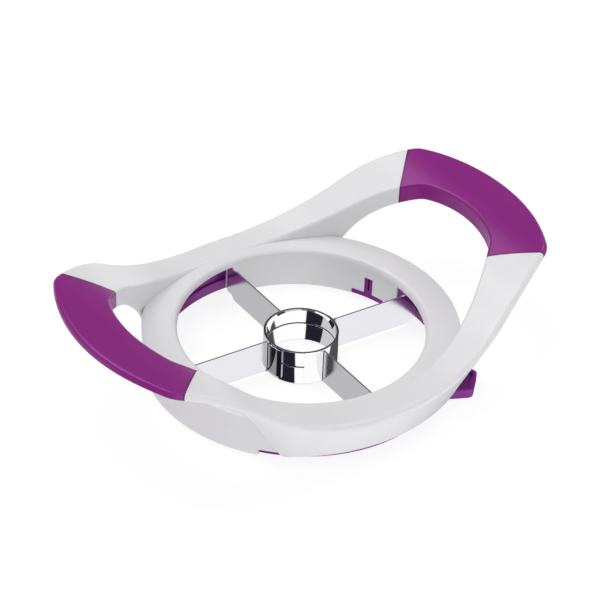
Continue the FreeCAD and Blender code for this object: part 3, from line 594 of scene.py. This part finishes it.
def swept_ring(name, low, high, sizes, steel, cut_edge_painted_dark, tree):
    """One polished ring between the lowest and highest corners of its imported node."""
    obj = bpy.data.objects.new(name, bpy.data.meshes.new(name))
    bpy.context.scene.collection.objects.link(obj)
    modifier = obj.modifiers.new("sweep", "NODES")
    modifier.node_group = tree
    set_input(modifier, "Radius", (high.x - low.x) / 2)
    set_input(modifier, "Wall", sizes.ring_wall)
    set_input(modifier, "Edge", sizes.ring_edge)
    set_input(modifier, "Low", low.z)
    set_input(modifier, "High", high.z)
    set_input(modifier, "Steel", steel)
    set_input(modifier, "Cut edge painted dark", cut_edge_painted_dark)
    return plain_mesh(obj)


# ------------------------------------------------------------------ studio
def mixed_shader(tree, factor, first, second):
    """The first shader where the factor is 0, and the second where it is 1."""
    mix = tree.nodes.new("ShaderNodeMixShader")
    tree.links.new(factor, mix.inputs["Fac"])
    tree.links.new(first, mix.inputs[1])
    tree.links.new(second, mix.inputs[2])
    return mix.outputs[0]


def glowing_floor(tree, colour, strength):
    """Diffuse floor of one colour that also glows white."""
    plain = add_node(tree, "ShaderNodeBsdfDiffuse", Color=colour)
    glow = add_node(tree, "ShaderNodeEmission", Color=WHITE, Strength=strength)
    both = tree.nodes.new("ShaderNodeAddShader")
    tree.links.new(plain.outputs[0], both.inputs[0])
    tree.links.new(glow.outputs[0], both.inputs[1])
    return both.outputs[0]


def floor_material(colour, bounce):
    """Pale floor that shows white to the camera and keeps the object's soft shadow."""
    material = bpy.data.materials.new("studio_floor")
    material.use_nodes = True
    tree = material.node_tree
    tree.nodes.clear()
    made = tree.nodes.new("ShaderNodeOutputMaterial")
    lighting = glowing_floor(tree, colour4(colour), bounce)
    seen = glowing_floor(tree, SEEN_FLOOR_COLOUR, SEEN_FLOOR_GLOW)
    path = tree.nodes.new("ShaderNodeLightPath")
    choice = mixed_shader(tree, path.outputs["Is Camera Ray"], lighting, seen)
    tree.links.new(choice, made.inputs["Surface"])
    return material


def make_floor(colour, bounce):
    """Flat floor under the press, a little below its lowest edge."""
    mesh = bpy.data.meshes.new("studio_floor")
    corners = [(x * FLOOR_HALF, y * FLOOR_HALF, -FLOOR_DROP)
               for x, y in ((-1, -1), (1, -1), (1, 1), (-1, 1))]
    mesh.from_pydata(corners, [], [(0, 1, 2, 3)])
    floor = bpy.data.objects.new("studio_floor", mesh)
    bpy.context.scene.collection.objects.link(floor)
    dress(floor, floor_material(colour, bounce))
    floor.visible_glossy = False


def direction_band(tree, azimuth, low_deg, high_deg, soft_deg):
    """1 where a direction's azimuth lies between two angles, with soft ends."""
    middle = math.radians((low_deg + high_deg) / 2)
    half = math.radians((high_deg - low_deg) / 2)
    soft = math.radians(soft_deg)
    off = math_node(tree, "SUBTRACT", azimuth, middle)
    wrapped = math_node(tree, "ARCTAN2", math_node(tree, "SINE", off),
                        math_node(tree, "COSINE", off))
    away = math_node(tree, "ABSOLUTE", wrapped)
    inside = math_node(tree, "SUBTRACT", half + soft / 2, away)
    return math_node(tree, "DIVIDE", inside, soft, clamp=True)


def studio_flags(tree):
    """Masks of the dark flags that stand in the mirrored studio, each with its depth."""
    x, y, z = split_place(tree, "Generated")
    azimuth = math_node(tree, "ARCTAN2", y, x)
    high = math_node(tree, "MULTIPLY", math_node(tree, "SUBTRACT", z, HIGH_FLAG_FROM),
                     FLAG_EDGE_GAIN, clamp=True)
    low = math_node(tree, "MULTIPLY", math_node(tree, "SUBTRACT", LOW_FLAG_BELOW, z),
                    FLAG_EDGE_GAIN, clamp=True)
    left = direction_band(tree, azimuth, 161.0, 219.5, 3.0)
    back = direction_band(tree, azimuth, 60.0, 163.0, 8.0)
    right = direction_band(tree, azimuth, -27.0, 58.0, 6.0)
    back_right = direction_band(tree, azimuth, -20.0, 130.0, 30.0)
    return ((left, 0.99),
            (back, 0.42),
            (math_node(tree, "MULTIPLY", low, right), 0.93),
            (math_node(tree, "MULTIPLY", high, back_right), 0.85))


def make_world(strength):
    """Even surround.  Mirrors see a white studio with dark flags standing in it."""
    world = bpy.data.worlds.new("studio_surround")
    world.use_nodes = True
    tree = world.node_tree
    tree.nodes.clear()
    made = tree.nodes.new("ShaderNodeOutputWorld")
    even = add_node(tree, "ShaderNodeBackground", Color=EVEN_COLOUR, Strength=strength)
    white = add_node(tree, "ShaderNodeBackground", Color=WHITE, Strength=1.0)
    level = 1.0
    for band, depth in studio_flags(tree):
        kept = math_node(tree, "SUBTRACT", 1.0, math_node(tree, "MULTIPLY", band, depth))
        level = math_node(tree, "MULTIPLY", level, kept)
    mirrored = add_node(tree, "ShaderNodeBackground", Strength=MIRRORED_LEVEL)
    tree.links.new(mixed_colour(tree, level, FLAG_COLOUR, WHITE), mirrored.inputs["Color"])

    path = tree.nodes.new("ShaderNodeLightPath")
    unseen = mixed_shader(tree, path.outputs["Is Glossy Ray"], even.outputs[0],
                          mirrored.outputs[0])
    choice = mixed_shader(tree, path.outputs["Is Camera Ray"], unseen, white.outputs[0])
    tree.links.new(choice, made.inputs["Surface"])
    bpy.context.scene.world = world


def soft_light(name, azimuth_deg, elevation_deg, distance, size, power):
    """Area light of a width and a height that faces the press from a direction."""
    data = bpy.data.lights.new(name, "AREA")
    data.shape = "RECTANGLE"
    data.size, data.size_y = size
    data.energy = power
    lamp = bpy.data.objects.new(name, data)
    bpy.context.scene.collection.objects.link(lamp)
    azimuth, elevation = math.radians(azimuth_deg), math.radians(elevation_deg)
    outward = Vector((math.cos(azimuth) * math.cos(elevation),
                      math.sin(azimuth) * math.cos(elevation), math.sin(elevation)))
    lamp.location = outward * distance + Vector((0, 0, LAMP_AIM_Z))
    lamp.rotation_euler = (-outward).to_track_quat("-Z", "Y").to_euler()


def make_camera(studio):
    """Camera that looks down on the press from the front left."""
    az, el, roll = studio.azimuth, studio.elevation, studio.roll
    back = Vector((math.sin(az) * math.cos(el), -math.cos(az) * math.cos(el), math.sin(el)))
    right = Vector((math.cos(az), math.sin(az), 0))
    up = back.cross(right)
    right_rolled = right * math.cos(roll) + up * math.sin(roll)
    up_rolled = up * math.cos(roll) - right * math.sin(roll)
    pixel = studio.distance / (studio.lens / SENSOR_WIDTH * PICTURE_WIDTH)
    place = (right_rolled * SHIFT_RIGHT * pixel + up_rolled * SHIFT_UP * pixel
             + back * studio.distance + Vector((0, 0, AIM_Z)))
    data = bpy.data.cameras.new("catalogue_camera")
    data.sensor_width = SENSOR_WIDTH
    data.sensor_fit = "HORIZONTAL"
    data.lens = studio.lens
    data.clip_start = CLIP_NEAR
    data.clip_end = CLIP_FAR
    camera = bpy.data.objects.new("catalogue_camera", data)
    bpy.context.scene.collection.objects.link(camera)
    turn = Matrix((right_rolled, up_rolled, back)).transposed().to_4x4()
    camera.matrix_world = Matrix.Translation(place) @ turn
    bpy.context.scene.camera = camera


# ------------------------------------------------------------------ operators
class WEDGER_OT_stage(bpy.types.Operator):
    """Sets up the floor, the surround, the soft lights and the camera"""

    bl_idname = "wedger.stage"
    bl_label = "Studio and camera"

    def execute(self, context):
        studio = context.scene.wedger_studio
        colours = context.scene.wedger_colours
        make_floor(colours.floor, studio.table_glow)
        make_world(studio.sky)
        soft_light("top_strip", 120, 66, 1.15, (0.26, 0.95), studio.top_power)
        soft_light("back_light", 84, 50, 1.15, (0.30, 0.30), studio.back_power)
        soft_light("key_light", 12, 49, 0.60, (0.20, 0.20), studio.key_power)
        soft_light("front_softbox", -96, 14, 1.15, (0.55, 0.55), studio.front_power)
        make_camera(studio)
        context.scene.view_settings.view_transform = "Standard"
        return {"FINISHED"}


class WEDGER_OT_body(bpy.types.Operator):
    """Finishes the white body"""

    bl_idname = "wedger.body"
    bl_label = "White body"

    def execute(self, context):
        dress(nodes["body"], white_plastic_material(context.scene.wedger_colours.white_plastic))
        return {"FINISHED"}


class WEDGER_OT_grips(bpy.types.Operator):
    """Finishes the two soft grips"""

    bl_idname = "wedger.grips"
    bl_label = "Soft grips"

    def execute(self, context):
        sizes = context.scene.wedger_sizes
        rubber = soft_grip_material(context.scene.wedger_colours.soft_grip, sizes.grip_grain,
                                    joint_plane(nodes[GRIPS[0]]), sizes.painted_joint_shade_width)
        for name in GRIPS:
            dress(nodes[name], rubber)
        return {"FINISHED"}


class WEDGER_OT_turning_ring(bpy.types.Operator):
    """Finishes the purple turning ring with its lever, and the two clips"""

    bl_idname = "wedger.turning_ring"
    bl_label = "Turning ring and clips"

    def execute(self, context):
        plastic = purple_plastic_material(context.scene.wedger_colours.purple_plastic)
        for name in PURPLE_PIECES:
            dress(nodes[name], plastic)
        return {"FINISHED"}


class WEDGER_OT_blades(bpy.types.Operator):
    """Finishes the four blades, with grinding lines along each pair"""

    bl_idname = "wedger.blades"
    bl_label = "Blades"

    def execute(self, context):
        colour = context.scene.wedger_colours.blade_steel
        polish = context.scene.wedger_colours.core_steel
        spacing = context.scene.wedger_sizes.polish_line
        # the fixed pair's tabs keep their polish colour; the turning pair's tabs get the painted
        # darkening
        pairs = (("ground_steel_front_to_back", FIXED_BLADES, ALONG_Y, 1.0),
                 ("ground_steel_side_to_side", TURNING_BLADES, ALONG_X, TURNING_TAB_PAINTED_DARK))
        for finish, blades, stretch, tab_painted_dark in pairs:
            steel = blade_material(finish, colour, polish, spacing, stretch, tab_painted_dark)
            for name in blades:
                dress(nodes[name], steel)
        return {"FINISHED"}


class WEDGER_OT_core_rings(bpy.types.Operator):
    """Sweeps the two stacked core rings in polished steel"""

    bl_idname = "wedger.core_rings"
    bl_label = "Core rings"

    def execute(self, context):
        sizes = context.scene.wedger_sizes
        colours = context.scene.wedger_colours
        steel = core_ring_material(colours.core_steel)
        cut_edge_painted_dark = cut_edge_painted_dark_material(colours.cut_edge_painted_dark)
        tree = ring_tree()
        rings = (("polished_upper_ring", upper_low, upper_high, "frame", "upper_core_ring"),
                 ("polished_lower_ring", lower_low, lower_high, "turning_ring", "lower_core_ring"))
        for name, low, high, body, node in rings:
            ring = swept_ring(name, low, high, sizes, steel, cut_edge_painted_dark, tree)
            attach(ring, body)
            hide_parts(node)
        return {"FINISHED"}


# ------------------------------------------------------------------ panel
class WEDGER_PT_panel(bpy.types.Panel):
    """Lists the wedger's pieces, sizes and colours"""

    bl_idname = "WEDGER_PT_panel"
    bl_label = "Apple wedger"
    bl_space_type = "VIEW_3D"
    bl_region_type = "UI"
    bl_category = "Wedger"

    def draw(self, context):
        layout = self.layout
        for kind in OPERATORS:
            layout.operator(kind.bl_idname)
        for group in (context.scene.wedger_sizes, context.scene.wedger_colours,
                      context.scene.wedger_studio):
            box = layout.box()
            for key in group.__annotations__:
                box.prop(group, key)


OPERATORS = (WEDGER_OT_stage, WEDGER_OT_body, WEDGER_OT_grips, WEDGER_OT_turning_ring,
             WEDGER_OT_blades, WEDGER_OT_core_rings)
CLASSES = (WedgerSizes, WedgerColours, WedgerStudio) + OPERATORS + (WEDGER_PT_panel,)


def register():
    """Registers the classes and gives the scene its settings."""
    for kind in CLASSES:
        bpy.utils.register_class(kind)
    bpy.types.Scene.wedger_sizes = PointerProperty(type=WedgerSizes)
    bpy.types.Scene.wedger_colours = PointerProperty(type=WedgerColours)
    bpy.types.Scene.wedger_studio = PointerProperty(type=WedgerStudio)


def unregister():
    """Takes back what register adds, in the opposite order."""
    del bpy.types.Scene.wedger_studio
    del bpy.types.Scene.wedger_colours
    del bpy.types.Scene.wedger_sizes
    for kind in reversed(CLASSES):
        bpy.utils.unregister_class(kind)


def main():
    """Builds the whole dressed press and its studio."""
    register()
    bpy.ops.wedger.stage()
    bpy.ops.wedger.body()
    bpy.ops.wedger.grips()
    bpy.ops.wedger.turning_ring()
    bpy.ops.wedger.blades()
    bpy.ops.wedger.core_rings()


if __name__ == "__main__":
    main()
